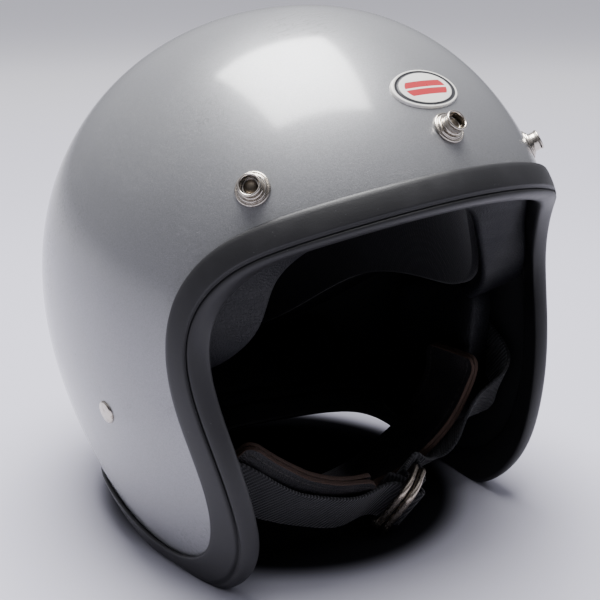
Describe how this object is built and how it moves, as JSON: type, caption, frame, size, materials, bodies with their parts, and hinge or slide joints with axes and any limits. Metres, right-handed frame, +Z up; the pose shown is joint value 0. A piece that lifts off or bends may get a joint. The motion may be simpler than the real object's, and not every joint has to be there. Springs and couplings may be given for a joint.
{
  "type": "open face motorcycle helmet",
  "caption": "Open face motorcycle helmet with a silver fibreglass shell, black rubber rim beading, brow snap studs, padded lining and a double D-ring chin strap.",
  "frame": {"origin": "middle of the footprint, on the surface that the helmet stands on", "axes": "+Z up, the helmet faces -Y, the wearer's right side is -X"},
  "size_m": [0.242, 0.2762, 0.254],
  "materials": {
    "shell_paint": "satin gloss silver metallic lacquer on glass fibre",
    "beading_rubber": "matt black rubber with a soft sheen",
    "liner_foam": "black expanded polystyrene",
    "lining_cloth": "black brushed cloth",
    "lining_leatherette": "smooth black leatherette, faintly grained",
    "nickel": "nickel plate, slightly warm and worn",
    "steel": "zinc plated steel",
    "badge_enamel": "gloss enamel plate with a dark rim",
    "webbing": "ribbed black nylon webbing",
    "pad_leather": "black leather with raw brown edges"
  },
  "bodies": {
    "helmet": {"shell": "shell_paint", "edge_beading": "beading_rubber", "impact_liner": "liner_foam", "crown_lining": "lining_cloth", "crown_pad": "lining_cloth", "brow_band": "lining_leatherette", "cheek_pad_right": "lining_leatherette", "cheek_pad_left": "lining_leatherette", "neck_roll": "lining_leatherette", "snap_washers": "steel", "badge": "badge_enamel", "strap_rivet_right": "nickel", "strap_rivet_left": "nickel", "rivet_washer_right": "steel", "rivet_washer_left": "steel", "snap_flange_centre": "nickel", "snap_barrel_centre": "nickel", "snap_rivet_centre": "nickel", "snap_flange_left": "nickel", "snap_barrel_left": "nickel", "snap_rivet_left": "nickel", "snap_flange_right": "nickel", "snap_barrel_right": "nickel", "snap_rivet_right": "nickel"},
    "chin_strap": {"strap_webbing_right": "webbing", "strap_webbing_left": "webbing", "chin_pad_right_inner": "pad_leather", "chin_pad_right_outer": "pad_leather", "chin_pad_left_inner": "pad_leather", "chin_pad_left_outer": "pad_leather"},
    "ring_inner": {"d_ring_inner": "nickel"},
    "ring_outer": {"d_ring_outer": "nickel"}
  },
  "joints": [
    {"name": "strap_swing", "type": "hinge", "parent": "helmet", "child": "chin_strap", "pos_m": [0, -0.02538, 0.081], "axis": [-1, 0, 0], "range_deg": [0, 30]},
    {"name": "ring_inner_tilt", "type": "hinge", "parent": "chin_strap", "child": "ring_inner", "pos_m": [0.01641, -0.07559, 0.02164], "axis": [-0.1808, 0.5222, -0.8335], "range_deg": [0, 6]},
    {"name": "ring_outer_tilt", "type": "hinge", "parent": "chin_strap", "child": "ring_outer", "pos_m": [0.01869, -0.07836, 0.01965], "axis": [0.1808, -0.5222, 0.8335], "range_deg": [0, 6]}
  ]
}
